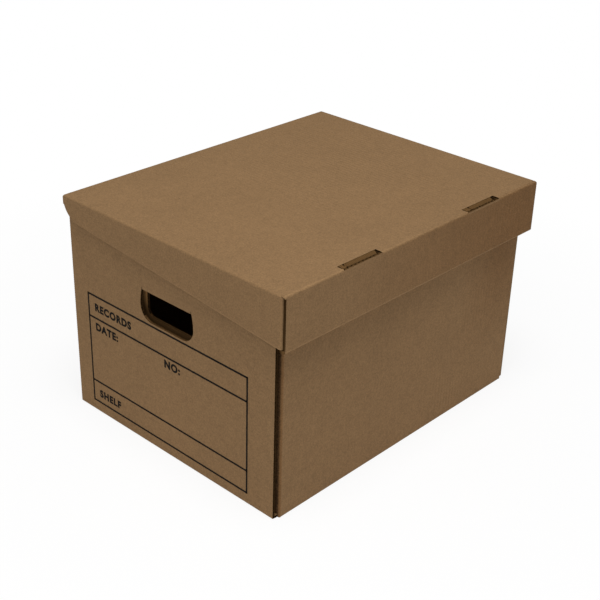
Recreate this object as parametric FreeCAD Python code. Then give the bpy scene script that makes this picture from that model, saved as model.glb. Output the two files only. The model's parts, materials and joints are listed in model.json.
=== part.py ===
import FreeCAD, Part
import math
import os

# Archive box of corrugated board with an attached flip lid, standing on its base and shut.
# Millimetres, +Z up. The origin is the centre of the base. The front long wall faces -Y, the lid is creased
# to the rear wall at +Y, and the printed end faces -X.

Vector = FreeCAD.Vector
X_AXIS = Vector(1, 0, 0)
Y_AXIS = Vector(0, 1, 0)
Z_AXIS = Vector(0, 0, 1)
ORIGIN = Vector(0, 0, 0)

# Board
board = 3.0                  # thickness of the corrugated board
ply_gap = 0.2                # play between boards that lie face to face
crease_round = 1.8           # outer radius of a fixed fold
hinge_gap = 0.15             # play between a rolled crease and the board that swings on it

# Box
inside_length = 369.6        # between the inner plies of the two ends
inside_width = 308.0         # between the front and rear panels
inside_height = 250.0        # floor to the underside of the lid
lid_seat_gap = 0.3           # top of the box to the underside of the lid
end_setback = 3.2            # raw edges of an end stop this far short of the long faces
corner_flap_overlap = 60.0   # each corner flap reaches this far past the middle of its end

# Lock tabs of the inner ends, in slots of the floor
lock_tab_length = 60.0
lock_tab_spacing = 160.0     # centre to centre
lock_tab_lift = 0.4          # tab end above the base
lock_play = 0.4              # tab to slot, all round

# Hand hole and its flap
hole_width = 80.6            # at the widest
hole_crease_width = 75.2     # along the straight top edge
hole_height = 34.2
hole_bottom = 152.2          # lowest edge above the base
hole_corner_radius = 17.0
inner_corner_radius = 10.0   # the holes in the inner plies are squarer
slit_width = 0.8             # the cut runs on past both ends of the crease
slit_rise = 2.0              # how far it runs on above the crease
flap_kerf = 0.4              # hole to flap, all round
flap_play = 0.5              # flap to the holes of the inner plies
corner_recess = 7.0          # the holes in the corner flaps are larger by this

# Lid
lid_end_play = 1.5           # end of the box to the end skirt
lid_front_play = 1.0         # front of the box to the inner front skirt
front_skirt_height = 60.0
ear_lift = 1.5               # ear above the hem
ear_length = 62.0
end_skirt_rear_height = 25.0
end_skirt_round = 25.0       # radius of the end skirt's rear end

# Slots of the lid and the tabs that lock in them
slot_length = 56.0
slot_rear_play = 0.3         # tab to the rear edge of its slot
left_slot_centre = -93.0
right_slot_centre = 102.0
tab_shift = 1.5              # tabs sit a little to the right in their slots
left_tab_length = 46.0
right_tab_length = 40.0
tab_corner = 6.0             # slanted corners of a tab
tab_drop = 0.3               # tab end below the face of the lid
tab_play = 0.3               # least room between a tab and its slot

# Cuts reach this far past the faces that they go through
overrun = 5.0
# Two points closer than this are one point
same_place = 0.001

# Worked out from the sizes above
ply = board + ply_gap
end_depth = 4 * board + 3 * ply_gap
half_length = inside_length / 2 + end_depth
half_width = inside_width / 2 + board
rear_corner_x = half_length - ply
front_corner_x = rear_corner_x - ply
lid_bottom = board + inside_height
lid_top = lid_bottom + board
box_top = lid_bottom - lid_seat_gap
end_half_width = half_width - end_setback

hinge_y = half_width - board / 2
hinge_z = lid_top - board / 2

hole_top = hole_bottom + hole_height
crease_z = hole_top + board / 2
crease_x = -half_length + board / 2

skirt_inner_x = half_length + lid_end_play
skirt_outer_x = skirt_inner_x + board
lid_inner_y = -half_width - lid_front_play
ear_inner_y = lid_inner_y - ply
lid_outer_inner_y = ear_inner_y - ply
lid_front_y = lid_outer_inner_y - board
ear_front_y = ear_inner_y - board
hem_bottom = lid_top - front_skirt_height
hem_top = hem_bottom + board
ear_bottom = hem_top + ear_lift
end_skirt_front_height = lid_top - ear_bottom
lid_rear_y = hinge_y - board / 2 - hinge_gap
slots = ((left_slot_centre, left_tab_length), (right_slot_centre, right_tab_length))


def block(x, y, z):
    """A box between the low and high ends given for each axis."""
    low = Vector(x[0], y[0], z[0])
    return Part.makeBox(x[1] - x[0], y[1] - y[0], z[1] - z[0], low)


def lies_on(edge, line):
    """Whether both ends of an edge have the coordinates that line gives."""
    for vertex in edge.Vertexes:
        for axis, place in line.items():
            if abs(getattr(vertex.Point, axis) - place) > same_place:
                return False
    return True


def round_folds(solid, *lines):
    """Round the edges of a board that lie on the given lines, as its folds are."""
    radius = min(crease_round, board - ply_gap)
    edges = [edge for edge in solid.Edges for line in lines if lies_on(edge, line)]
    return solid.makeFillet(radius, edges)


def half_round(centre, along, facing):
    """Half a rod as thick as the board: the rolled edge of a crease, facing away from its board."""
    across = along.cross(facing).normalize() * (board / 2)
    arc = Part.Arc(centre - across, centre + facing * (board / 2), centre + across).toShape()
    flat = Part.makeLine(centre + across, centre - across)
    return Part.Face(Part.Wire([arc, flat])).extrude(along)


def hole_outline(half_wide, half_top, radius, bottom, shoulder, top):
    """Outline of a hand hole in the YZ plane: flat below, round lower corners, sides drawn in upwards."""
    flat = half_wide - radius
    lean = math.cos(math.pi / 4) * radius
    rise = top - shoulder
    draw = half_wide - half_top
    edges = [Part.makeLine(Vector(0, -flat, bottom), Vector(0, flat, bottom))]
    for side in (1, -1):
        foot = Vector(0, side * flat, bottom)
        bend = Vector(0, side * (flat + lean), bottom + radius - lean)
        wide = Vector(0, side * half_wide, bottom + radius)
        edges.append(Part.Arc(foot, bend, wide).toShape())
        brow = Vector(0, side * half_wide, shoulder)
        corner = Vector(0, side * half_top, top)
        if shoulder - wide.z > same_place:
            edges.append(Part.makeLine(wide, brow))
        if draw > same_place:
            sweep = (rise * rise + draw * draw) / (2 * draw)
            turn = math.asin(rise / sweep) / 2
            half_middle = half_wide - sweep * (1 - math.cos(turn))
            middle = Vector(0, side * half_middle, shoulder + sweep * math.sin(turn))
            edges.append(Part.Arc(brow, middle, corner).toShape())
        else:
            edges.append(Part.makeLine(brow, corner))
    edges.append(Part.makeLine(Vector(0, half_top, top), Vector(0, -half_top, top)))
    return Part.Wire(Part.__sortEdges__(edges))


def through(outline, low_x, high_x):
    """A bar with the given YZ outline, between two places along X."""
    bar = Part.Face(outline).extrude(X_AXIS * (high_x - low_x))
    bar.translate(X_AXIS * low_x)
    return bar


def outer_hole(inset):
    """The cut in the outer end up to its crease, or the flap's outline where inset is the kerf."""
    outline = hole_outline(
        hole_width / 2 - inset,
        hole_crease_width / 2 - inset,
        hole_corner_radius - inset,
        hole_bottom + inset,
        hole_bottom + hole_corner_radius,
        crease_z,
    )
    return outline


def inner_hole(recess):
    """The straight-sided hole in a ply behind, which the flap swings through."""
    half = hole_width / 2 + flap_play + recess
    radius = inner_corner_radius + recess
    bottom = hole_bottom - recess
    outline = hole_outline(half, half, radius, bottom, bottom + radius, crease_z + board / 2 + flap_play)
    return through(outline, -half_length, -inside_length / 2 + overrun)


def bottom_panel():
    """The floor, between the walls, with two lock slots along each end."""
    x = half_length - board
    y = inside_width / 2
    panel = block((-x, x), (-y, y), (0, board))
    low_x = inside_length / 2 - lock_play
    high_x = inside_length / 2 + board + lock_play
    reach = lock_tab_length / 2 + lock_play
    for side in (-1, 1):
        slot_x = sorted((side * low_x, side * high_x))
        for centre in (-lock_tab_spacing / 2, lock_tab_spacing / 2):
            slot = block(slot_x, (centre - reach, centre + reach), (-overrun, board + overrun))
            panel = panel.cut(slot)
    return panel


def front_panel():
    """The front wall, folded at the floor and at both corners."""
    panel = block((-front_corner_x, front_corner_x), (-half_width, -inside_width / 2), (0, box_top))
    base = {"y": -half_width, "z": 0}
    left = {"x": -front_corner_x, "y": -half_width}
    right = {"x": front_corner_x, "y": -half_width}
    return round_folds(panel, base, left, right)


def rear_panel():
    """The rear wall, with the rolled crease that the lid swings on along its top."""
    panel = block((-rear_corner_x, rear_corner_x), (inside_width / 2, half_width), (0, hinge_z))
    base = {"y": half_width, "z": 0}
    left = {"x": -rear_corner_x, "y": half_width}
    right = {"x": rear_corner_x, "y": half_width}
    roll = half_round(Vector(-rear_corner_x + crease_round, hinge_y, hinge_z),
                      X_AXIS * (2 * (rear_corner_x - crease_round)), Z_AXIS)
    return round_folds(panel, base, left, right).fuse(roll).removeSplitter()


def end_outer():
    """The outer ply of the left end, with the hand hole and the rolled crease along its top."""
    x = (-half_length, -half_length + board)
    panel = block(x, (-end_half_width, end_half_width), (0, box_top - board))
    panel = round_folds(panel, {"x": -half_length, "z": 0})
    panel = panel.cut(through(outer_hole(0), x[0] - overrun, x[1] + overrun))
    end_y = hole_crease_width / 2
    for side in (-1, 1):
        slit_y = sorted((side * end_y, side * (end_y - slit_width)))
        slit = block((x[0] - overrun, x[1] + overrun), slit_y, (crease_z - slit_rise, crease_z + slit_rise))
        panel = panel.cut(slit)
    start = Vector(crease_x, -end_y + slit_width, crease_z)
    roll = half_round(start, Y_AXIS * (2 * (end_y - slit_width)), -Z_AXIS)
    return panel.fuse(roll).removeSplitter()


def end_top_fold():
    """The spine of the left end, over the tops of its plies."""
    x = (-half_length, -inside_length / 2)
    fold = block(x, (-end_half_width, end_half_width), (box_top - board, box_top))
    return round_folds(fold, {"x": x[0], "z": box_top}, {"x": x[1], "z": box_top})


def end_inner():
    """The inner ply of the left end, hung from the spine, with two tabs in the slots of the floor."""
    x = (-inside_length / 2 - board, -inside_length / 2)
    y = inside_width / 2 - ply_gap
    panel = block(x, (-y, y), (ply, box_top - board))
    reach = lock_tab_length / 2
    for centre in (-lock_tab_spacing / 2, lock_tab_spacing / 2):
        tab = block(x, (centre - reach, centre + reach), (lock_tab_lift, ply))
        panel = panel.fuse(tab)
    return panel.removeSplitter().cut(inner_hole(0))


def corner_flap(side, corner_x):
    """A middle ply of the left end that folds in from the front wall (side -1) or the rear wall (1)."""
    start = side * inside_width / 2
    y = sorted((start, -side * corner_flap_overlap))
    flap = block((-corner_x, -corner_x + board), y, (ply, box_top - ply))
    return flap.cut(inner_hole(corner_recess))


def handle_flap():
    """The tongue of the left hand hole, pushed in until it lies level."""
    x = (-half_length, -half_length + board)
    flap = through(outer_hole(flap_kerf), x[0], x[1])
    half = hole_width / 2
    edge = crease_z - board / 2 - hinge_gap
    flap = flap.cut(block((x[0] - overrun, x[1] + overrun), (-half, half), (edge, crease_z + overrun)))
    flap.rotate(Vector(crease_x, 0, crease_z), -Y_AXIS, 90)
    return flap


def lid_top_panel():
    """The top of the lid, with two slots behind its front fold and a corner past each end of the crease."""
    z = (lid_bottom, lid_top)
    panel = block((-skirt_inner_x, skirt_inner_x), (lid_outer_inner_y, half_width), z)
    crease_reach = rear_corner_x + ply_gap
    panel = panel.cut(block((-crease_reach, crease_reach), (lid_rear_y, half_width + overrun), z))
    for centre, _ in slots:
        x = (centre - slot_length / 2, centre + slot_length / 2)
        y = (lid_outer_inner_y - overrun, lid_inner_y + slot_rear_play)
        panel = panel.cut(block(x, y, z))
    return panel


def lid_front_outer():
    """The outer ply of the front skirt."""
    panel = block((-skirt_outer_x, skirt_outer_x), (lid_front_y, lid_outer_inner_y), (hem_top, lid_top))
    return round_folds(panel, {"y": lid_front_y, "z": lid_top})


def lid_front_hem():
    """The fold along the lower edge of the front skirt, across its three plies."""
    hem = block((-skirt_outer_x, skirt_outer_x), (lid_front_y, lid_inner_y), (hem_bottom, hem_top))
    return round_folds(hem, {"y": lid_front_y, "z": hem_bottom}, {"y": lid_inner_y, "z": hem_bottom})


def lid_front_inner():
    """The inner ply of the front skirt, with two tabs up through the slots of the lid."""
    x = skirt_inner_x - ply_gap
    y = (lid_inner_y - board, lid_inner_y)
    panel = block((-x, x), y, (hem_top, lid_bottom))
    slant = min(tab_corner, board - tab_drop)
    for centre, length in slots:
        middle = centre + tab_shift
        reach = min(length, slot_length - 2 * (tab_shift + tab_play)) / 2
        top = lid_top - tab_drop
        corners = [
            Vector(middle - reach, y[0], lid_bottom),
            Vector(middle + reach, y[0], lid_bottom),
            Vector(middle + reach - slant, y[0], top),
            Vector(middle - reach + slant, y[0], top),
        ]
        tab = Part.Face(Part.makePolygon(corners + corners[:1])).extrude(Y_AXIS * board)
        panel = panel.fuse(tab)
    return panel.removeSplitter()


def lid_end_skirt():
    """The left end skirt: deep at the front, shallow and rounded at the rear."""
    corners = [
        Vector(-skirt_outer_x, ear_front_y, lid_top),
        Vector(-skirt_outer_x, half_width, lid_top),
        Vector(-skirt_outer_x, half_width, lid_top - end_skirt_rear_height),
        Vector(-skirt_outer_x, ear_front_y, lid_top - end_skirt_front_height),
    ]
    skirt = Part.Face(Part.makePolygon(corners + corners[:1])).extrude(X_AXIS * board)
    heel = {"y": half_width, "z": lid_top - end_skirt_rear_height}
    edges = [edge for edge in skirt.Edges if lies_on(edge, heel)]
    skirt = skirt.makeFillet(min(end_skirt_round, end_skirt_rear_height), edges)
    top = {"x": -skirt_outer_x, "z": lid_top}
    front = {"x": -skirt_outer_x, "y": ear_front_y}
    return round_folds(skirt, top, front)


def lid_ear():
    """The ear that folds in from the left end skirt, between the plies of the front skirt."""
    x = (-skirt_inner_x, -skirt_inner_x + ear_length)
    return block(x, (ear_front_y, ear_inner_y), (ear_bottom, lid_bottom - ply_gap))


def both_ends(name, solid):
    """A piece of the left end and its mirror image at the right end, under their node names."""
    return {
        name.format("left"): solid,
        name.format("right"): solid.mirror(ORIGIN, X_AXIS),
    }


def pieces():
    """Every piece of the box under its node name."""
    made = {
        "bottom_panel": bottom_panel(),
        "front_panel": front_panel(),
        "rear_panel": rear_panel(),
    }
    made.update(both_ends("{}_end_outer", end_outer()))
    made.update(both_ends("{}_end_top_fold", end_top_fold()))
    made.update(both_ends("{}_end_inner", end_inner()))
    made.update(both_ends("{}_front_corner_flap", corner_flap(-1, front_corner_x)))
    made.update(both_ends("{}_rear_corner_flap", corner_flap(1, rear_corner_x)))
    made.update(both_ends("{}_handle_flap", handle_flap()))
    made["lid_top_panel"] = lid_top_panel()
    made["lid_front_outer"] = lid_front_outer()
    made["lid_front_hem"] = lid_front_hem()
    made["lid_front_inner"] = lid_front_inner()
    made.update(both_ends("lid_{}_end_skirt", lid_end_skirt()))
    made.update(both_ends("lid_{}_ear", lid_ear()))
    return made


os.makedirs("parts", exist_ok=True)
for node, solid in pieces().items():
    solid.exportStep("parts/" + node + ".step")
    print(node, len(solid.Solids), solid.isValid(), round(solid.Volume))
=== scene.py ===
# %% [markdown]
# # A corrugated archive box
# The box is folded from one die-cut sheet of corrugated board: two paper liners with a wavy sheet, the
# fluting, glued between them. The CAD model holds each panel as a plain slab. Here every panel becomes what
# it is, a liner, a fluting and a liner, so that the cut edges show open flutes and the folds are round. The
# frame is loaded first. Nothing in it is moved: new pieces take their sizes from its nodes.

# %% Load the frame
import json
import math

import bpy
import numpy as np
from mathutils import Matrix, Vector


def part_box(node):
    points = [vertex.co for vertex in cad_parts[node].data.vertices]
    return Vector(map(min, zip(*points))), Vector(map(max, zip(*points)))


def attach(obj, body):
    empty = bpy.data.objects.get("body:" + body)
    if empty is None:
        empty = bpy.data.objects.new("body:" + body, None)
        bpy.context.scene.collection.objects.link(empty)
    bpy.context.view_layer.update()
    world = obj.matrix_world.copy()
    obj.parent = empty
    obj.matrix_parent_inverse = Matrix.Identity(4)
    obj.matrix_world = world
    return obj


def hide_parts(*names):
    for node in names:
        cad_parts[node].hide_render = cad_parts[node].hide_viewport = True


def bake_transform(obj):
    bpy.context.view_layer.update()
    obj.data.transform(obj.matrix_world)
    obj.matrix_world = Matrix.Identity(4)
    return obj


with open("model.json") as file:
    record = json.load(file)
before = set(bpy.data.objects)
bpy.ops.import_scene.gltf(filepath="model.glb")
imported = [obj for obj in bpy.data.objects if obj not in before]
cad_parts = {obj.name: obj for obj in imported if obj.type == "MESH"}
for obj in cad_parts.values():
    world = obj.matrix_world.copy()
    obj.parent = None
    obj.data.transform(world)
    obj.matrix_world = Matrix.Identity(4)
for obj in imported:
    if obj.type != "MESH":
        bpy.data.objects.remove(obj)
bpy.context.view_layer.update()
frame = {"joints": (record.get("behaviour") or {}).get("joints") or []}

MM = 0.001

# %% [markdown]
# ## Sizes
# Lengths are in millimetres until a mesh is made. What the CAD model knows is read from it: the thickness
# of the board, the faces and the crease lines. What it leaves out is named here: the paper, the fluting and
# the fold. Sizes that only one piece needs are named where that piece is made.


# %% Board sizes
def corners(node):
    """A panel's lowest and highest corners at rest, in millimetres."""
    low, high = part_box(node)
    return np.array(low) / MM, np.array(high) / MM


floor_low, floor_high = corners("bottom_panel")
BOARD = round(float(floor_high[2] - floor_low[2]), 3)
LINER = 0.3                         # the two flat papers
MEDIUM = 0.2                        # the wavy paper between them
SLACK = 0.05                        # room between two papers that lie on each other
HAIR = 0.02                         # keeps two faces from lying in one plane
FLUTE = 5.4                         # from one wave to the next
FOLD = 2.4                          # outer radius of a fixed fold
ARC = FOLD * math.pi / 2            # paper used up by a fold of 90 degrees
TUCK = BOARD - FOLD                 # straight bit past the fold, down to the back of the board
CREASE_REACH = 1.1                  # how far the rubbed look and painted highlight of a fold spread
RUB_AND_HIGHLIGHT = 0.2                        # how much lighter a fold is: rubbed paper with painted highlight
TURNED_IN_SHADE = -0.7                    # painted shade on paper that turns in at a corner, into the gap
SQUARE = 1.7                        # how much the weight of the box squares the folds under its walls
STEP = 45.0                         # between grid lines, where nothing bends
WAVE_STEPS = 12                     # grid lines to a flute
INSET = 1.0                         # from the end of the fluting to an edge that hides it
AXES = "xyz"
ENDS = (("left", "-x"), ("right", "+x"))        # names and outer sides of the two ends
print("board", BOARD, "mm, with", round(1000 / FLUTE), "flutes a metre")

# %% [markdown]
# ## Kraft paper
# The liners are unbleached kraft paper: a warm brown that is never flat. It has cloudy patches, a fine
# grain of fibres and a few dark specks, and it is matt. Along the folds it is rubbed lighter, with painted
# highlight added there. Where painted shade darkens it, in corners and gaps and towards the right end of
# the front, it is warmer too. The fluting is a coarser, somewhat darker paper, painted much darker still as
# the shade inside the board, and the cut edges of the board show mostly that. A picture of paper would do
# for one panel. The grain and the specks are node groups instead, because the liner, the fluting and the
# ink all use them. They read Object coordinates, so the grain runs on from one panel to the next.


# %% Node helpers
def put(tree, kind, inputs=None, **settings):
    """Adds a node, sets its properties, and fills its inputs with values or links."""
    made = tree.nodes.new(kind)
    for name, value in settings.items():
        setattr(made, name, value)
    for name, value in (inputs or {}).items():
        if isinstance(value, bpy.types.NodeSocket):
            tree.links.new(value, made.inputs[name])
        else:
            made.inputs[name].default_value = value
    return made


def number(tree, operation, a, b=0.0, c=0.0):
    """One sum of two or three values."""
    made = put(tree, "ShaderNodeMath", {0: a, 1: b, 2: c}, operation=operation)
    return made.outputs[0]


def colours(tree, share, first, second, way="MIX"):
    """A colour between two others, by a share of the second, or the two multiplied."""
    made = put(tree, "ShaderNodeMix", {0: share, 6: first, 7: second}, data_type="RGBA", blend_type=way)
    return made.outputs[2]


def use(tree, group, inputs):
    """A shader group placed in a material, with its own values."""
    return put(tree, "ShaderNodeGroup", inputs, node_tree=group)


def new_group(name, inputs, outputs):
    """An empty shader group with the named sockets, and its two end nodes."""
    group = bpy.data.node_groups.new(name, "ShaderNodeTree")
    for label, kind in inputs:
        group.interface.new_socket(label, in_out="INPUT", socket_type=kind)
    for label in outputs:
        group.interface.new_socket(label, in_out="OUTPUT", socket_type="NodeSocketFloat")
    return group, group.nodes.new("NodeGroupInput"), group.nodes.new("NodeGroupOutput")


# %% Paper grain
MOTTLE = 1.3                        # how strong the middle-sized patches are beside the wide clouds


def paper_grain():
    """Tone: a factor near 1, made of wide clouds, mottle and fibre. Height: the fibres alone, for bump."""
    group, source, sink = new_group(
        "paper_grain",
        [("Vector", "NodeSocketVector"), ("Clouds", "NodeSocketFloat"), ("Grain", "NodeSocketFloat")],
        ("Tone", "Height"),
    )
    place = source.outputs["Vector"]
    clouds = put(group, "ShaderNodeTexNoise", {"Vector": place, "Scale": 14.0, "Detail": 3.0})
    mottle = put(group, "ShaderNodeTexNoise", {"Vector": place, "Scale": 130.0, "Detail": 3.0})
    fibre = put(group, "ShaderNodeTexNoise",
                {"Vector": place, "Scale": 620.0, "Detail": 4.0, "Roughness": 0.65})
    wide = number(group, "SUBTRACT", clouds.outputs[0], 0.5)
    middle = number(group, "SUBTRACT", mottle.outputs[0], 0.5)
    fine = number(group, "SUBTRACT", fibre.outputs[0], 0.5)
    patches = number(group, "MULTIPLY_ADD", middle, MOTTLE, wide)
    tone = number(group, "MULTIPLY_ADD", patches, source.outputs["Clouds"], 1.0)
    tone = number(group, "MULTIPLY_ADD", fine, source.outputs["Grain"], tone)
    group.links.new(tone, sink.inputs["Tone"])
    group.links.new(fibre.outputs[0], sink.inputs["Height"])
    return group


# %% Paper specks
SPECK_EDGE = 60.0                   # how sharp the edge of a speck is
SPECK_CHANCE = 0.55                 # share of the cells that stay empty


def paper_specks():
    """Mask: 1 on the odd dark fibre. Each cell holds one speck of up to Size, where chance allows."""
    group, source, sink = new_group(
        "paper_specks",
        [("Vector", "NodeSocketVector"), ("Cells", "NodeSocketFloat"), ("Size", "NodeSocketFloat")],
        ("Mask",),
    )
    cells = put(group, "ShaderNodeTexVoronoi",
                {"Vector": source.outputs["Vector"], "Scale": source.outputs["Cells"], "Randomness": 1.0})
    chance = put(group, "ShaderNodeSeparateColor", {"Color": cells.outputs["Color"]})
    radius = number(group, "MULTIPLY", chance.outputs[0], source.outputs["Size"])
    inside = number(group, "SUBTRACT", radius, cells.outputs["Distance"])
    mask = number(group, "MULTIPLY", inside, SPECK_EDGE)
    mask = number(group, "MINIMUM", number(group, "MAXIMUM", mask, 0.0), 1.0)
    picked = number(group, "GREATER_THAN", chance.outputs[1], SPECK_CHANCE)
    group.links.new(number(group, "MULTIPLY", mask, picked), sink.inputs["Mask"])
    return group


GRAIN = paper_grain()
SPECKS = paper_specks()
print("groups:", GRAIN.name, SPECKS.name)


# %% Paper materials
WARMER = (1.0, 0.875, 0.75)         # what is left of red, green and blue where painted shade makes the paper darkest
WARM_AT = 0.25                      # which it is from this much below zero, mostly painted shade
SPECK_SHOW = 0.75                   # how much of a speck shows
SPECK_CELLS = 75.0                  # cells to a metre, each with at most one speck
SPECK_SIZE = 0.05                   # largest radius of a speck, as a share of a cell
MATT = (0.16, 0.76)                 # roughness: what the fibres add, and the least


def paper(name, colour, speck_colour, clouds, grain, ripple, gloss):
    """Kraft paper: a colour times its grain plus rubbing, painted light and painted shade, with specks and a
    bump of fibres and flutes.

    The value of a point read from the mesh is above zero where the paper is rubbed light or given painted
    light or highlight, and below zero where it is crushed and dark or given painted shade. ripple is how far
    the flutes show through the liner.
    """
    material = bpy.data.materials.new(name)
    material.use_nodes = True
    tree = material.node_tree
    shader = tree.nodes["Principled BSDF"]
    place = put(tree, "ShaderNodeTexCoord").outputs["Object"]
    fibres = use(tree, GRAIN, {"Vector": place, "Clouds": clouds, "Grain": grain})
    specks = use(tree, SPECKS, {"Vector": place, "Cells": SPECK_CELLS, "Size": SPECK_SIZE})
    wear = put(tree, "ShaderNodeAttribute", attribute_name="wear").outputs["Fac"]
    across = put(tree, "ShaderNodeAttribute", attribute_name="across").outputs["Fac"]
    # rubbing, painted light and painted highlight raise the tone; painted shade lowers it and, below zero,
    # warms it
    tone_and_shading = number(tree, "ADD", wear, fibres.outputs["Tone"])
    warm = number(tree, "DIVIDE", wear, -WARM_AT)
    shaded = colours(tree, warm, (*colour, 1), (*(np.array(colour) * WARMER), 1))
    tinted = colours(tree, 1.0, shaded, tone_and_shading, "MULTIPLY")
    faint = number(tree, "MULTIPLY", specks.outputs["Mask"], SPECK_SHOW)
    spotted = colours(tree, faint, tinted, (*speck_colour, 1))
    tree.links.new(spotted, shader.inputs["Base Color"])
    wave = number(tree, "SINE", number(tree, "MULTIPLY", across, 2 * math.pi / FLUTE))
    height = number(tree, "MULTIPLY_ADD", wave, ripple, fibres.outputs["Height"])
    bump = put(tree, "ShaderNodeBump", {"Strength": 0.5, "Distance": 0.0002, "Height": height})
    tree.links.new(bump.outputs["Normal"], shader.inputs["Normal"])
    matt = number(tree, "MULTIPLY_ADD", fibres.outputs["Height"], *MATT)
    tree.links.new(matt, shader.inputs["Roughness"])
    shader.inputs["Specular IOR Level"].default_value = gloss
    return material


KRAFT = paper("kraft_liner", colour=(0.266, 0.1584, 0.0748), speck_colour=(0.075, 0.045, 0.022),
              clouds=0.16, grain=1.05, ripple=0.5, gloss=0.1)
# a somewhat darker paper than the liner, painted much darker still as the shade inside the board
MIDDLE = paper("fluting_paper", colour=(0.072, 0.039, 0.015), speck_colour=(0.03, 0.017, 0.007),
               clouds=0.18, grain=0.40, ripple=0.0, gloss=0.0)
print("papers:", KRAFT.name, MIDDLE.name)

# %% [markdown]
# ## Skins
# Each paper is a thin closed skin: the same grid of points twice, one sheet over the other, and a rim round
# all open sides. A Solidify modifier could do this too. Done by hand, the rim and the side that looks into
# the flutes can be told apart from the face, and they take the fluting paper, painted dark as the shade
# inside the board. The grid comes from numpy, and a mask leaves cells out where the paper is cut away.
# Points that fall together, as at the pole of a rounded corner, are welded first, so that the rim only runs
# where the paper really ends.


# %% Skin of a sheet
def skin(outer, inner, keep=None):
    """Points, quads, triangles, which faces aren't on the outer sheet, and grid places of a closed skin.

    Quads cover the outer grid and, turned over, the inner one. Every side that only one quad uses gets a rim.
    """
    rows, columns = outer.shape[:2]
    flat = np.round(outer.reshape(-1, 3), 4) + 0.0
    _, picked, weld = np.unique(flat, axis=0, return_index=True, return_inverse=True)
    index = weld.reshape(rows, columns)
    quads = np.stack([index[:-1, :-1], index[1:, :-1], index[1:, 1:], index[:-1, 1:]], axis=-1)
    quads = quads.reshape(-1, 4) if keep is None else quads[keep]
    quads = quads[(quads == np.roll(quads, -1, axis=1)).sum(axis=1) < 2]
    used, quads = np.unique(quads, return_inverse=True)
    quads = quads.reshape(-1, 4)
    picked = picked[used]
    over = outer.reshape(-1, 3)[picked]
    under = inner.reshape(-1, 3)[picked]
    one_way = np.cross(over[quads[:, 2]] - over[quads[:, 0]], over[quads[:, 3]] - over[quads[:, 1]])
    if np.einsum("ij,ij->", one_way, (over - under)[quads[:, 0]]) < 0:
        quads = quads[:, ::-1]
    start = quads.ravel()
    end = np.roll(quads, -1, axis=1).ravel()
    count = len(over)
    alone = ~np.isin(start * count + end, end * count + start) & (start != end)
    start, end = start[alone], end[alone]
    rim = np.stack([end, start, start + count, end + count], axis=-1)
    faces = np.concatenate([quads, quads[:, ::-1] + count, rim])
    below = np.arange(len(faces)) >= len(quads)
    pinched = faces == np.roll(faces, -1, axis=1)
    three = pinched.any(axis=1)
    triangles = faces[three][~pinched[three]].reshape(-1, 3)
    below = np.concatenate([below[~three], below[three]])
    return np.concatenate([over, under]), faces[~three], triangles, below, np.tile(picked, 2)


def lines(low, high, step, marks=()):
    """Places from low to high, about one step apart, with one at every mark that lies between them."""
    inside = [mark for mark in marks if low < mark < high]
    ends = np.unique(np.round([low, high, *inside], 4))
    runs = [np.linspace(a, b, math.ceil((b - a) / step) + 1) for a, b in zip(ends[:-1], ends[1:])]
    return np.unique(np.round(np.concatenate(runs), 4))


# %% [markdown]
# ## A board
# One class makes every panel. It reads the panel's box from the CAD model, keeps its skins, and turns them
# into one mesh that takes the node's place. A fold could be a bevel, but its liner would stretch. Here
# folds are made by wrapping: the liner is laid out flat, and what lies past the fold line is rolled round a
# radius and then runs straight. So a panel is still just a function of two flat coordinates, and the same
# call makes a flat panel and one with three folds.


# %% Board class
FOLD_STEPS = np.linspace(0, ARC, 7)             # grid places in a fold
NEAR_FOLD = np.array([0.8, 2.0, 4.0, 8.0])      # and beside it
RUB_PLACE = 0.75 * ARC                          # a fold is rubbed, with painted highlight, most here
SMOOTH = math.radians(32)                       # edges that turn more than this are sharp


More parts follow.
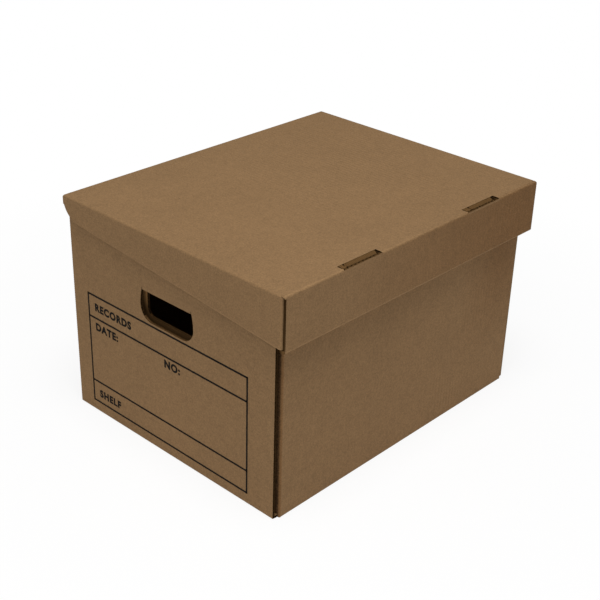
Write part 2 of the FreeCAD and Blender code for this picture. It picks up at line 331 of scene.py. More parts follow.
class Board:
    """A panel of corrugated board in the place of one CAD node."""

    def __init__(self, node, facing, folded=(), flutes="y"):
        self.node = node
        self.low, self.high = corners(node)
        self.axis = AXES.index(facing[1])
        self.out = 1 if facing[0] == "+" else -1
        self.face = self.high[self.axis] if self.out > 0 else self.low[self.axis]
        self.u, self.v = [axis for axis in range(3) if axis != self.axis]
        self.folded = folded
        self.along = AXES.index(flutes)
        self.across = 3 - self.axis - self.along
        self.skins = []

    def places(self, letter, step=STEP, marks=(), low=None, high=None):
        """Flat grid places across the panel, with extra ones in and near each fold."""
        axis = AXES.index(letter)
        low = self.low[axis] if low is None else low
        high = self.high[axis] if high is None else high
        marks = list(marks)
        start, stop = low, high
        if "-" + letter in self.folded:
            start = low + FOLD - ARC - TUCK
            marks += [*(low + FOLD - FOLD_STEPS), *(low + FOLD + NEAR_FOLD)]
        if "+" + letter in self.folded:
            stop = high - FOLD + ARC + TUCK
            marks += [*(high - FOLD + FOLD_STEPS), *(high - FOLD - NEAR_FOLD)]
        return lines(start, stop, step, marks)

    def back(self, letter, step=STEP, low=None, high=None):
        """Grid places for the inner liner, which stops just short of the outer one at a fold."""
        axis = AXES.index(letter)
        low = self.low[axis] if low is None else low
        high = self.high[axis] if high is None else high
        low += (LINER + SLACK) * ("-" + letter in self.folded)
        high -= (LINER + SLACK) * ("+" + letter in self.folded)
        return lines(low, high, step)

    def bend(self, axis, places):
        """Where flat places end up: the line they turn about, the angle, and how far they run on past it."""
        letter = AXES[axis]
        least = self.low[axis] + FOLD if "-" + letter in self.folded else -np.inf
        most = self.high[axis] - FOLD if "+" + letter in self.folded else np.inf
        core = np.clip(places, least, most)
        angle = np.clip((places - core) / FOLD, -math.pi / 2, math.pi / 2)
        return core, angle, np.abs(places - core) - FOLD * np.abs(angle)

    def wrap(self, u, v, sink=0.0):
        """Points of the outer liner: the turning line plus the fold's radius along the turned normal.

        A fold under a wall is squarer: both of its offsets shrink as a power of their share of the radius. It
        ends where the wall's upright folds begin, and those run straight down.
        """
        core_u, turn_u, past_u = self.bend(self.u, u)
        core_v, turn_v, past_v = self.bend(self.v, v)
        if "-z" in self.folded:
            upright = np.abs(turn_u) > 0.01
            core_v = np.where(upright, np.maximum(v, self.low[2]), core_v)
            turn_v = np.where(upright, 0, turn_v)
            past_v = np.where(upright, 0, past_v)
        normal = np.zeros(u.shape + (3,))
        normal[..., self.u] = np.sin(turn_u)
        normal[..., self.v] = np.sin(turn_v) * np.cos(turn_u)
        normal[..., self.axis] = self.out * np.cos(turn_u) * np.cos(turn_v)
        centre = np.zeros_like(normal)
        centre[..., self.u] = core_u
        centre[..., self.v] = core_v
        centre[..., self.axis] = self.face - self.out * (FOLD + past_u + past_v)
        points = centre + (FOLD - sink) * normal
        if "-z" in self.folded:
            sag, rest = 1 - np.cos(turn_v), 1 - np.abs(np.sin(turn_v))
            points[..., self.axis] += self.out * FOLD * (sag - sag ** SQUARE)
            points[..., 2] -= FOLD * (rest - rest ** SQUARE)
        return points

    def rub_and_highlight(self, u, v):
        """Rubbing and painted highlight of the folds: most three quarters round each, falling off as a bell
        curve.
        """
        value = np.zeros(u.shape)
        for axis, places in ((self.u, u), (self.v, v)):
            middles = []
            if "-" + AXES[axis] in self.folded:
                middles.append(self.low[axis] + FOLD - RUB_PLACE)
            if "+" + AXES[axis] in self.folded:
                middles.append(self.high[axis] - FOLD + RUB_PLACE)
            for middle in middles:
                value = np.maximum(value, np.exp(-((places - middle) / CREASE_REACH) ** 2))
        return RUB_AND_HIGHLIGHT * value

    def flat(self, u, v, depth):
        """Points at a depth under the outer face."""
        points = np.zeros(u.shape + (3,))
        points[..., self.u] = u
        points[..., self.v] = v
        points[..., self.axis] = self.face - self.out * depth
        return points

    def add(self, outer, inner, keep=None, wear=None, paper_slot=0):
        """Keeps a skin: the face in its own paper, the rest in fluting paper, with a value per point for
        rubbing and painted light and shade, and the place across.
        """
        points, quads, triangles, below, picked = skin(outer, inner, keep)
        wear = np.zeros(outer.shape[:2]) if wear is None else wear
        across = outer[..., self.across].reshape(-1)[picked]
        papers = np.where(below, 1, paper_slot)
        self.skins.append((points, quads, triangles, papers, wear.reshape(-1)[picked], across))

    def liner(self, u, v, keep=None, wear=0.0):
        """The outer liner over a grid of flat places, wrapped round the folds."""
        self.add(self.wrap(u, v), self.wrap(u, v, LINER), keep, self.rub_and_highlight(u, v) + wear)

    def lining(self, u, v, keep=None, wear=None, paper_slot=0):
        """The inner liner, flat on the back of the board."""
        self.add(self.flat(u, v, BOARD), self.flat(u, v, BOARD - LINER), keep, wear, paper_slot)

    def liners(self, u, v, keep=None, wear=0.0):
        """Both liners over the same grid."""
        self.liner(u, v, keep, wear)
        self.lining(u, v, keep)

    def scrap(self, u, v, depth, back, wear=None, paper_slot=1):
        """A bit of crushed paper at a depth, as thick as the fluting: back tells which way, along u and v."""
        behind = self.flat(u + MEDIUM * back[0], v + MEDIUM * back[1], depth)
        self.add(self.flat(u, v, depth), behind, wear=wear, paper_slot=paper_slot)

    def fluting(self, start, stop, low, high, touch=0.0):
        """The wavy paper: a sine wave across the board, carried along the flutes from low to high.

        It touches the inner liner at the place called touch. low and high may be arrays worked out from the
        places that wave_places gives for the same run.
        """
        places = wave_places(start, stop)
        swing = (BOARD - MEDIUM) / 2 - LINER
        turn = 2 * math.pi * (places - touch) / FLUTE
        depth = BOARD / 2 + swing * np.cos(turn)
        slope = -swing * 2 * math.pi / FLUTE * np.sin(turn)
        length = np.hypot(1, slope)
        ends = np.stack([np.broadcast_to(low, places.shape), np.broadcast_to(high, places.shape)], axis=1)
        sheets = []
        for side in (MEDIUM / 2, -MEDIUM / 2):
            points = np.zeros(ends.shape + (3,))
            points[..., self.along] = ends
            points[..., self.across] = (places + side * slope / length)[:, None]
            points[..., self.axis] = (self.face - self.out * (depth - side / length))[:, None]
            sheets.append(points)
        self.add(sheets[0], sheets[1], paper_slot=1)

    def finish(self, body):
        """One mesh from all skins, in the place of the node and riding on its body."""
        piece = mesh_piece(self.node + "_board", self.skins, (KRAFT, MIDDLE))
        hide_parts(self.node)
        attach(piece, body)
        return piece


def wave_places(start, stop):
    """Places across a run of fluting, a dozen to a wave."""
    return np.linspace(start, stop, max(2, math.ceil((stop - start) * WAVE_STEPS / FLUTE) + 1))


def mesh_piece(name, skins, materials):
    """An object from skins: their points in metres, their faces and papers, and the two values per point."""
    counts = np.cumsum([0] + [len(part[0]) for part in skins])
    points = np.concatenate([part[0] for part in skins]) * MM
    faces = []
    papers = []
    for start, (_, quads, triangles, slots, _, _) in zip(counts, skins):
        faces += (quads + start).tolist() + (triangles + start).tolist()
        papers += slots.tolist()
    mesh = bpy.data.meshes.new(name)
    mesh.from_pydata(points.tolist(), [], faces)
    mesh.polygons.foreach_set("material_index", papers)
    for label, column in (("wear", 4), ("across", 5)):
        values = np.concatenate([part[column] for part in skins]).astype(np.float32)
        mesh.attributes.new(label, "FLOAT", "POINT").data.foreach_set("value", values)
    for material in materials:
        mesh.materials.append(material)
    mesh.shade_smooth()
    mesh.set_sharp_from_angle(angle=SMOOTH)
    piece = bpy.data.objects.new(name, mesh)
    bpy.context.scene.collection.objects.link(piece)
    print(name, len(points), "points,", len(faces), "faces")
    return piece


# %% [markdown]
# ## Walls and floor
# The front wall is folded up from the floor and folded in at both corners, so it has three folds. Its top
# edge is cut across the flutes. Its upper right part is painted a bit darker and warmer, as painted shade
# of the lid that fades downwards, and its turned-in corners carry painted shade too.
# A cube with its edges bevelled would have the same outline, but no open flutes. The floor lies between the
# walls, with two slots along each end for the lock tabs: cells left out of its grid.


# %% Grid and window helpers
def grid(u, v):
    """Two arrays that give both flat places for every point of a grid."""
    return np.meshgrid(u, v, indexing="ij")


def outside(u, v, windows):
    """Which cells of a grid lie outside all windows, each given as (low u, high u, low v, high v)."""
    middle_u, middle_v = grid((u[:-1] + u[1:]) / 2, (v[:-1] + v[1:]) / 2)
    keep = np.ones(middle_u.shape, bool)
    for low_u, high_u, low_v, high_v in windows:
        keep &= ~((middle_u > low_u) & (middle_u < high_u) & (middle_v > low_v) & (middle_v < high_v))
    return keep


def turned_in(board, u):
    """Painted shade that grows with the turn of the folds at both ends of a wall."""
    return TURNED_IN_SHADE * np.clip((np.abs(u) - (board.high[0] - FOLD)) / ARC, 0, 1)


def far_end(x, start, stop, shade):
    """Painted shade towards the front's right end: none up to start, then more and more, and all of it from
    stop on.
    """
    return -shade * np.clip((x - start) / (stop - start), 0, 1)


# %% Front wall
WALL_SHADE = (90.0, 160.0, 0.15)    # painted shade on the wall grows between these places, to this share
SHADOW_FADE = (60.0, 160.0)               # and, as a painted shadow of the lid, fades from the upper of these heights to the lower one
front = Board("front_panel", "-y", ("-x", "+x", "-z"), flutes="z")
u, v = grid(front.places("x", marks=WALL_SHADE[:2]), front.places("z", marks=SHADOW_FADE))
# painted shade: the lid's shadow towards the right end, fading downwards, and shade in the turned-in corners
painted_shadow = far_end(u, *WALL_SHADE) * np.interp(v, SHADOW_FADE, (0, 1))
front.liner(u, v, wear=turned_in(front, u) + painted_shadow)
front.lining(*grid(front.back("x"), front.back("z")))
front.fluting(front.low[0] + FOLD, front.high[0] - FOLD, front.low[2] + FOLD, front.high[2])
front.finish("box")

# %% Floor of the box
LOCK_MIDDLES = (-80.0, 80.0)        # lock tabs, along each end
LOCK_HALF = 30.0
LOCK_PLAY = 0.4
inner_left = corners("left_end_inner")
lock_x = (-inner_left[1][0] - LOCK_PLAY, -inner_left[0][0] + LOCK_PLAY)
lock_windows = []
for low_x, high_x in (lock_x, (-lock_x[1], -lock_x[0])):
    for middle in LOCK_MIDDLES:
        lock_windows.append((low_x, high_x, middle - LOCK_HALF - LOCK_PLAY, middle + LOCK_HALF + LOCK_PLAY))
marks_x = [place for window in lock_windows for place in window[:2]]
marks_y = [place for window in lock_windows for place in window[2:]]
floor = Board("bottom_panel", "-z", flutes="y")
floor_u = lines(floor.low[0], floor.high[0], STEP, marks_x)
floor_v = lines(floor.low[1], floor.high[1], STEP, marks_y)
floor_keep = outside(floor_u, floor_v, lock_windows)
floor.liners(*grid(floor_u, floor_v), floor_keep)
floor.fluting(-lock_x[0] + INSET, lock_x[0] - INSET, floor.low[1], floor.high[1])
floor.finish("box")

# %% [markdown]
# ## Rear wall and its rolled top
# The lid is creased to the rear wall. Along the crease the board is crushed into a soft roll that the lid
# swings on. It could end square, but then a gap would open as the lid swings. The roll is a half round
# about the hinge line, so it looks the same however far the lid is open. It is a little smaller on the
# outside, where the liner of the lid crease lies over it.


# %% Rear wall
joints = {joint["name"]: joint for joint in frame["joints"]}
hinge = np.array(joints["lid_hinge"]["pos_m"]) / MM
ROLL = BOARD / 2
EASE_FROM = 1.3                     # turn where the roll starts to ease out to its full size
EASE_OVER = 1.4
rear = Board("rear_panel", "+y", ("-x", "+x", "-z"), flutes="z")
u, v = grid(rear.places("x"), rear.places("z", high=hinge[2]))
# painted shade in the turned-in corners
rear.liner(u, v, wear=turned_in(rear, u))
rear.lining(*grid(rear.back("x"), rear.back("z", high=hinge[2])))
rear.fluting(rear.low[0] + FOLD, rear.high[0] - FOLD, rear.low[2] + FOLD, hinge[2])


def roll_radius(turn):
    """Radius of a rolled crease: under the liner on the outside, easing out to the full roll inside."""
    ease = np.clip((turn - EASE_FROM) / EASE_OVER, 0, 1)
    return ROLL - (LINER + SLACK) * (1 - ease * ease * (3 - 2 * ease))


roll_turn = np.linspace(0, math.pi, 19)
roll_x, roll_t = grid(lines(rear.low[0], rear.high[0], STEP), roll_turn)


def rear_roll(sink):
    """Points round the hinge line, from the outside over the top to the inside."""
    reach = roll_radius(roll_t) - sink
    return np.stack([roll_x, hinge[1] + reach * np.cos(roll_t), hinge[2] + reach * np.sin(roll_t)], axis=-1)


def rounded_rear(points):
    """Points of the lid behind and above the hinge line, lowered to lie on the same round as the roll."""
    past = np.clip((points[..., 1] - hinge[1]) / ROLL, 0, 0.98)
    lowered = points.copy()
    lowered[..., 2] -= np.maximum(points[..., 2] - hinge[2], 0) * (1 - np.sqrt(1 - past ** 2))
    return lowered


rear.add(rear_roll(0.0), rear_roll(LINER))
rear.finish("box")

# %% [markdown]
# ## Ends with hand holes
# Each end has four plies: an outer one folded up from the floor, the two corner flaps, which overlap, and
# an inner one that rolls over the top and locks in the floor. The holes in the inner plies are squarer, and
# those in the corner flaps are larger. A Boolean could cut the holes, but leaves long thin faces. So the
# liners are lofts: rings that change from the outline of the hole, by way of a plain collar, to the outline
# of the panel. The knife leaves fine teeth along upright cut edges.

# %% Hand hole outlines
KERF = 0.4                          # hole to flap, all round
HOLE_RADIUS = 17.0
INNER_RADIUS = 10.0                 # the inner holes are squarer
HOLE_TOP_HALF = 37.6                # half the hole's width at its crease
SLIT = 0.8                          # the knife runs on past both ends of the crease
SLIT_RISE = 2.0
INNER_PLAY = 0.5                    # the inner holes are this much wider
RECESS = 7.0                        # the corner flaps' holes are larger all round
COLLAR = 4.0                        # plain ring round the hole, where the loft to the panel starts
flap_low, flap_high = corners("left_handle_flap")
end_low = corners("left_end_outer")[0]
crease_x = end_low[0] + ROLL
crease_z = flap_low[2] + ROLL
hole_half = flap_high[1] + KERF
hole_bottom = crease_z - (flap_high[0] - crease_x) - KERF


class Hole:
    """A hand hole in one ply: a flat foot, round lower corners, and sides that may draw in towards the top.

    It is wider than the outer ply's by play, and larger all round by grow.
    """

    def __init__(self, play=0.0, grow=0.0, radius=HOLE_RADIUS, top_half=None, top=None, brow=None):
        self.half = hole_half + play + grow
        self.radius = radius + grow
        self.bottom = hole_bottom - grow
        self.shoulder = self.bottom + self.radius
        self.top = crease_z + ROLL + INNER_PLAY if top is None else top
        self.top_half = self.half if top_half is None else top_half
        self.brow = [[self.half - step, self.top] for step in (0, 1, 2)] if brow is None else brow

    def side(self, z):
        """Half the width at a height: a quarter round from the foot, then a slow arc inwards."""
        below = np.clip(self.shoulder - z, 0, self.radius)
        corner = self.half - self.radius + np.sqrt(self.radius ** 2 - below ** 2)
        draw = self.half - self.top_half
        if draw < 0.001:
            return corner
        rise = crease_z - self.shoulder
        sweep = (rise ** 2 + draw ** 2) / (2 * draw)
        above = np.clip(z - self.shoulder, 0, rise)
        return corner - (sweep - np.sqrt(sweep ** 2 - above ** 2))

    def foot(self, y):
        """The lower edge at a place across: flat, then round up to the side."""
        past = np.clip(np.abs(y) - (self.half - self.radius), 0, self.radius)
        return self.shoulder - np.sqrt(self.radius ** 2 - past ** 2)

    def corner(self, wider):
        """Points of the round lower corner, from foot to side, with a wider radius about the same centre."""
        turn = np.linspace(0, math.pi / 2, 13)
        centre = np.array([self.half - self.radius, self.shoulder])
        return centre + (self.radius + wider) * np.stack([np.sin(turn), -np.cos(turn)], axis=1)

    def outline(self):
        """Half the hole, from the middle of its foot to the middle of its top, with a key for each point.

        The keys run from 0 to 4: 1 is halfway round the lower corner, and 3 is at the end of the top.
        """
        heights = np.linspace(self.shoulder, crease_z, 10)[1:]
        side = np.stack([self.side(heights), heights], axis=1)
        points = np.concatenate([[[0, self.bottom]], self.corner(0), side, self.brow, [[0, self.top]]])
        keys = [0, *np.linspace(0.5, 1.5, 13), *np.linspace(1.5, 2.7, 10)[1:], 2.8, 2.9, 3.0, 4.0]
        return points, np.array(keys)

    def collar(self):
        """A plain ring outside the hole, with the same keys at the same turns."""
        wide = self.half + COLLAR
        above = self.top + COLLAR
        brow = [[place, above] for place in (wide, self.half, self.top_half - COLLAR, 0)]
        foot = [[0, self.bottom - COLLAR]]
        points = np.concatenate([foot, self.corner(COLLAR), [[wide, crease_z]], brow])
        return points, np.array([0, *np.linspace(0.5, 1.5, 13), 2.7, 2.8, 2.9, 3.0, 4.0])


roll_half = HOLE_TOP_HALF - SLIT
nick = [[HOLE_TOP_HALF, crease_z + SLIT_RISE], [roll_half, crease_z + SLIT_RISE], [roll_half, crease_z]]
outer_hole = Hole(top_half=HOLE_TOP_HALF, top=crease_z, brow=nick)
corner_hole = Hole(INNER_PLAY, RECESS, INNER_RADIUS)
inner_hole = Hole(INNER_PLAY, radius=INNER_RADIUS)
tongue = Hole(grow=-KERF, top_half=HOLE_TOP_HALF - KERF)
print("hand hole", round(2 * hole_half, 1), "by", round(crease_z - ROLL - hole_bottom, 1), "mm")

# %% Loft from the hole to the edge
TOOTH = 2.7                         # teeth of the knife
TOOTH_DEPTH = 0.3
RINGS = np.array([0, 0.1, 0.35, 0.7, 0.92, 0.985, 1.0])     # shares of the way from the collar to the edge
PLACES = (41, 361)                  # grid places up an edge, without teeth and with them


def toothed(z):
    """A sawtooth of the knife's depth."""
    return TOOTH_DEPTH * np.abs(2 * ((z / TOOTH) % 1) - 1)


def trace(points, keys, along):
    """Points of an outline at the given keys."""
    points = np.array(points)
    return np.stack([np.interp(along, keys, points[:, k]) for k in (0, 1)], axis=-1)


def loft(hole, low_y, high_y, low, high, teeth):
    """Rings of (y, z): the hole, its collar, then shares of the way to the panel's edge, on both sides."""
    points, keys = hole.outline()
    collar, collar_keys = hole.collar()
    upright = np.linspace(1, 3, PLACES[teeth])
    along = np.unique([*keys, *collar_keys, *np.linspace(0, 1, 17), *upright, *np.linspace(3, 4, 17)])
    near = trace(points, keys, along)
    plain = trace(collar, collar_keys, along)
    halves = []
    for width in (high_y, -low_y):
        far = trace([[0, low], [width, low], [width, high], [0, high]], [0, 1, 3, 4], along)
        rings = np.concatenate([near[None], plain + RINGS[:, None, None] * (far - plain)])
        upright = (along >= 1) & (along <= 3)
        rings[-1, upright, 0] -= teeth * toothed(far[upright, 1])
        halves.append(rings)
    other = halves[1][:, ::-1] * np.array([-1, 1])
    whole = np.concatenate([halves[0], other[:, 1:]], axis=1)
    return whole[..., 0], whole[..., 1]


def holed_fluting(board, hole, low, high):
    """The wavy paper of a ply with a hand hole: runs below, beside and above the hole."""
    low_y, high_y = board.low[1] + TOOTH_DEPTH, board.high[1] - TOOTH_DEPTH
    if board.across == 2:
        side = hole.side(wave_places(hole.bottom, hole.top))
        board.fluting(low, hole.bottom, low_y, high_y)
        board.fluting(hole.bottom, hole.top, low_y, -side)
        board.fluting(hole.bottom, hole.top, side, high_y)
        board.fluting(hole.top, high, low_y, high_y)
    else:
        board.fluting(low_y, -hole.half, low, high)
        board.fluting(-hole.half, hole.half, low, hole.foot(wave_places(-hole.half, hole.half)))
        board.fluting(-hole.half, hole.half, hole.top, high)
        board.fluting(hole.half, high_y, low, high)


# %% Crushed foot of a hole
FOOT_WEAR = 1.3                     # fluting paper that is crushed over at a hole's foot is lighter by this
SUNK = 0.25                         # how far it is sunk
HOLLOW = 0.2                        # how much more in the middle of the board
UNEVEN = 0.1                        # and how much more here and less there
UNEVEN_PACE = 1.9


def crushed_foot(board, hole):
    """The lower cut edge of a hole, crushed shut: the outline's foot carried across the board, a bit sunk."""
    half = trace(*hole.outline(), np.linspace(0, 1, 30))
    line = np.concatenate([half[:0:-1] * np.array([-1, 1]), half])
    depth = np.linspace(LINER, BOARD - LINER, 7)
    u = np.repeat(line[:, :1], len(depth), axis=1)
    hollow = HOLLOW * np.sin(math.pi * (depth - LINER) / (BOARD - 2 * LINER))
    v = line[:, 1:] - (SUNK + hollow + UNEVEN * np.sin(u * UNEVEN_PACE))
    board.scrap(u, v, np.broadcast_to(depth, u.shape), (0, -1), np.full(u.shape, FOOT_WEAR))


# %% [markdown]
# The outer plies come first. The front edge of the right one is pressed shut, where the knife of the left
# end has left open flutes. The corner flaps are only seen in the gap beside the front wall, and painted
# shade darkens them into it. The back of an inner ply is what shows in a hand hole, and painted light from
# inside the box makes its upper part lighter.

# %% Outer plies
PRESSED = 0.05                      # how far a pressed edge stands out
brow_y, brow_turn = grid(lines(-roll_half, roll_half, 12), roll_turn)


def hole_roll(board, sink):
    """Points round the handle crease, from the outer face under the crease to the back."""
    reach = roll_radius(brow_turn) - sink
    x = board.face - board.out * (ROLL - reach * np.cos(brow_turn))
    return np.stack([x, brow_y, crease_z - reach * np.sin(brow_turn)], axis=-1)


for name, facing in ENDS:
    outer = Board(name + "_end_outer", facing, ("-z",), flutes="y")
    low_y, high_y = outer.low[1], outer.high[1]
    fold_line = outer.low[2] + FOLD
    u, v = loft(outer_hole, low_y, high_y, fold_line, outer.high[2], True)
    outer.liner(u, v)
    foot_u = np.unique(np.round(u[-1][v[-1] < fold_line + 0.001], 4))
    outer.liner(*grid(foot_u, outer.places("z", high=fold_line, step=5)))
    outer.lining(*loft(outer_hole, low_y, high_y, outer.low[2] + LINER, outer.high[2], True))
    holed_fluting(outer, outer_hole, fold_line, outer.high[2])
    crushed_foot(outer, outer_hole)
    outer.add(hole_roll(outer, 0.0), hole_roll(outer, LINER))
    if name == "right":
        pressed_z = lines(outer.low[2] + PRESSED, outer.high[2], STEP)
        pressed_z, depth = grid(pressed_z, np.array([HAIR, BOARD / 2, BOARD]))
        outer.scrap(np.full(depth.shape, low_y - PRESSED), pressed_z, depth, (1, 0), paper_slot=0)
    outer.finish("box")

# %% Corner flaps
GAP_SHADE = 12.0                    # a corner flap gets painted shade this far in from its fold
for name, facing in ENDS:
    for place in ("front", "rear"):
        flap = Board(name + "_" + place + "_corner_flap", facing, flutes="z")
        u, v = loft(corner_hole, flap.low[1], flap.high[1], flap.low[2], flap.high[2], False)
        root = flap.low[1] if place == "front" else flap.high[1]
        # painted shade along the flap's fold, deep in the gap beside the front wall
        flap.liners(u, v, wear=np.where(np.abs(u - root) < GAP_SHADE, TURNED_IN_SHADE, 0.0))
        holed_fluting(flap, corner_hole, flap.low[2], flap.high[2])
        flap.finish("box")

# %% Inner plies and top folds
FOOT_GAP = 0.2                      # inner ply to floor, between the lock tabs
LIT = (-6.0, 8.0)                   # painted light on the back of the ply grows from here to here, past the hole's foot
PAINTED_LIGHT = (0.6, 2.4, 8.0)          # by this at both places and at the crease
for name, facing in (("left", "+x"), ("right", "-x")):
    inner = Board(name + "_end_inner", facing, flutes="y")
    foot = floor_high[2] + FOOT_GAP
    u, v = loft(inner_hole, inner.low[1], inner.high[1], foot, inner.high[2], True)
    inner.liner(u, v)
    # painted light from inside the box on the back of the ply, which is in the fluting paper
    wear = np.interp(v, [hole_bottom + LIT[0], hole_bottom + LIT[1], crease_z], PAINTED_LIGHT)
    inner.lining(u, v, wear=wear, paper_slot=1)
    holed_fluting(inner, inner_hole, foot, inner.high[2])
    crushed_foot(inner, inner_hole)
    for middle in LOCK_MIDDLES:
        tab = grid(lines(middle - LOCK_HALF, middle + LOCK_HALF, 20), lines(inner.low[2], foot, 2))
        inner.liners(*tab)
        inner.fluting(inner.low[2], foot, middle - LOCK_HALF, middle + LOCK_HALF)
    inner.finish("box")

    spine = Board(name + "_end_top_fold", "+z", ("-x", "+x"), flutes="y")
    spine_y = lines(spine.low[1], spine.high[1], STEP)
    spine.liner(*grid(spine.places("x"), spine_y))
    spine.lining(*grid(spine.back("x"), spine_y))
    spine.fluting(spine.low[0] + INSET, spine.high[0] - INSET, spine.low[1], spine.high[1])
    spine.finish("box")

# %% [markdown]
# ## Handle flaps
# The tongue cut from each hand hole stays on, creased along the top and pushed in until it lies level. It
# could be cut from a plain sheet. Instead its outline is the hole's, a knife's width smaller: each row
# across it is as long as the hole is wide there, so the two fit when the flap swings back.

# %% Handle flaps
HINGE_GAP = 0.15                    # from the roll of a crease to the board that swings on it
for name, body in (("left", "left_handle"), ("right", "right_handle")):
    flap = Board(name + "_handle_flap", "-z", flutes="y")
    hand = -1 if name == "left" else 1
    flap_start = ROLL + HINGE_GAP
    flap_end = crease_z - hole_bottom - KERF
    tip = flap_end - HOLE_RADIUS * (1 - np.cos(np.linspace(0, math.pi / 2, 14)))
    along = np.unique(np.concatenate([lines(flap_start, flap_end, 2.0), tip]))
    tongue_x, share = grid(along, np.linspace(-1, 1, 21))
    tongue_y = share * tongue.side(crease_z - tongue_x)
    tongue_x = hand * (-crease_x - tongue_x)
    flap.liners(tongue_x, tongue_y)
    ends = sorted((hand * (-crease_x - flap_start), hand * (-crease_x - flap_end)))
    run = wave_places(*ends)
    side = tongue.side(crease_z - np.abs(run + hand * crease_x))
    flap.fluting(*ends, -side, side)
    flap.finish(body)

# %% [markdown]
# ## Lid
# The top is flat, with two slots behind its front fold and a corner past each end of the crease. It is one
# grid again, with the slots left out of it. Three folds meet at each front corner, and a small patch of
# paper lies under them there, so that no light falls through.

# %% Lid top
SLOT_MIDDLES = (-93.0, 102.0)
SLOT_HALF = 28.0
TAB_PLAY = 0.3                      # tab to the rear edge of its slot
CREASE_HALF = 194.4                 # the crease runs this far each way
top = Board("lid_top_panel", "+z", flutes="y")
slot_rear = corners("lid_front_inner")[1][1] + TAB_PLAY
lid_rear = hinge[1] - ROLL - HINGE_GAP
slot_windows = [(middle - SLOT_HALF, middle + SLOT_HALF, top.low[1], slot_rear) for middle in SLOT_MIDDLES]
lid_windows = slot_windows + [(-CREASE_HALF, CREASE_HALF, lid_rear, top.high[1])]
slot_ends = [place for window in slot_windows for place in window[:2]]
top_u = lines(top.low[0], top.high[0], STEP, [*slot_ends, -CREASE_HALF, CREASE_HALF])
top_v = lines(top.low[1], top.high[1], STEP, [slot_rear, lid_rear, *np.linspace(hinge[1], top.high[1], 5)])
top_keep = outside(top_u, top_v, lid_windows)
top_grid = grid(top_u, top_v)
top.add(rounded_rear(top.wrap(*top_grid)), rounded_rear(top.wrap(*top_grid, LINER)), top_keep)
top.lining(*top_grid, top_keep)
runs = [top.low[0], *slot_ends, top.high[0]]
for count, (start, stop) in enumerate(zip(runs[:-1], runs[1:])):
    top.fluting(start, stop, slot_rear if count % 2 else top.low[1], lid_rear)
print("lid top with", len(slot_windows), "slots,", 2 * SLOT_HALF, "mm long")


# %% Front corners of the lid top
def end_drop(x):
    """How far the round of the end skirts' folds has fallen at a place along the front."""
    past = np.clip(np.abs(x) - (corners("lid_front_outer")[1][0] - FOLD), 0, FOLD)
    return FOLD - np.sqrt(FOLD ** 2 - past ** 2)


PATCH = (2.0, 0.4, 2.2)             # reach of the patch to the side, to the front and to the back
PATCH_DEPTH = 0.15                  # and how far under the folds it lies
patch_x, patch_y = grid(np.linspace(-PATCH[0], 0.0, 6), np.linspace(-PATCH[1], PATCH[2], 3))
for corner_x, hand in ((top.low[0], 1), (top.high[0], -1)):
    spot = (corner_x + hand * patch_x, top.low[1] + patch_y)
    depth = PATCH_DEPTH + end_drop(spot[0])
    top.add(top.flat(*spot, depth), top.flat(*spot, depth + LINER))
top.finish("lid")

# %% [markdown]
# ## Front skirt
# The front of the lid is folded down, round a hem and up again. The skirt stops just short of the end
# skirts, so a slit shows at the near corner, with the frayed edge of the board in it. The skirt is one
# wrapped liner, painted darker and warmer towards its right end, as painted shade. The slots are cut right
# along its fold. There it isn't folded over: its board ends in a cut edge with open flutes. So the fold is
# left out of the liner at the slots, and the liner goes straight up instead. A Boolean could cut the slots
# too, but not leave the flutes open.

# %% Front skirt
SHORT = (2.8, 0.6)                  # the front skirt stops short of the end skirts' faces, left and right
CLOSED = 2.0                        # along its fold it goes this much further on the left
SLOT_ROUND = 0.4                    # the front of a slot is this much shorter at both ends
TOOTH_ROOT = 1.0                    # grid line behind the teeth of an upright edge
SKIRT_SHADE = (-120.0, 180.0, 0.23) # painted shade on the skirt grows between these places, to this share
skirt = Board("lid_front_outer", "-y", ("+z",), flutes="z")
skirt_start, skirt_stop = skirt.low[0] + SHORT[0], skirt.high[0] - SHORT[1]
raw_runs = [(window[0] + SLOT_ROUND, window[1] - SLOT_ROUND) for window in slot_windows]
skirt_marks = [*np.ravel(raw_runs), skirt_start + TOOTH_ROOT, skirt_stop - TOOTH_ROOT, *SKIRT_SHADE[:2]]
skirt_x = lines(skirt_start, skirt_stop, STEP, skirt_marks)
skirt_z = skirt.places("z", step=TOOTH / 3)
skirt_top = skirt.high[2] - FOLD
u, v = grid(skirt_x, skirt_z)
u[0] += np.where(v[0] < skirt_top, toothed(v[0]), -CLOSED)
u[-1] -= toothed(v[-1]) * (v[-1] < skirt_top)


def fold_ends(points):
    """The front fold, lowered at both ends to follow the round of the end skirts' folds."""
    share = np.clip((points[..., 2] - skirt_top) / FOLD, 0, 1)
    lowered = points.copy()
    lowered[..., 2] -= share * end_drop(points[..., 0])
    return lowered


# rubbing with painted highlight on the fold, and painted shade towards the right end
wear = skirt.rub_and_highlight(u, v) + far_end(u, *SKIRT_SHADE)
skirt_keep = outside(skirt_x, skirt_z, [(*run, skirt_top, np.inf) for run in raw_runs])
skirt.add(fold_ends(skirt.wrap(u, v)), fold_ends(skirt.wrap(u, v, LINER)), skirt_keep, wear)
print("front skirt from x", round(skirt_start, 1), "to", round(skirt_stop, 1))

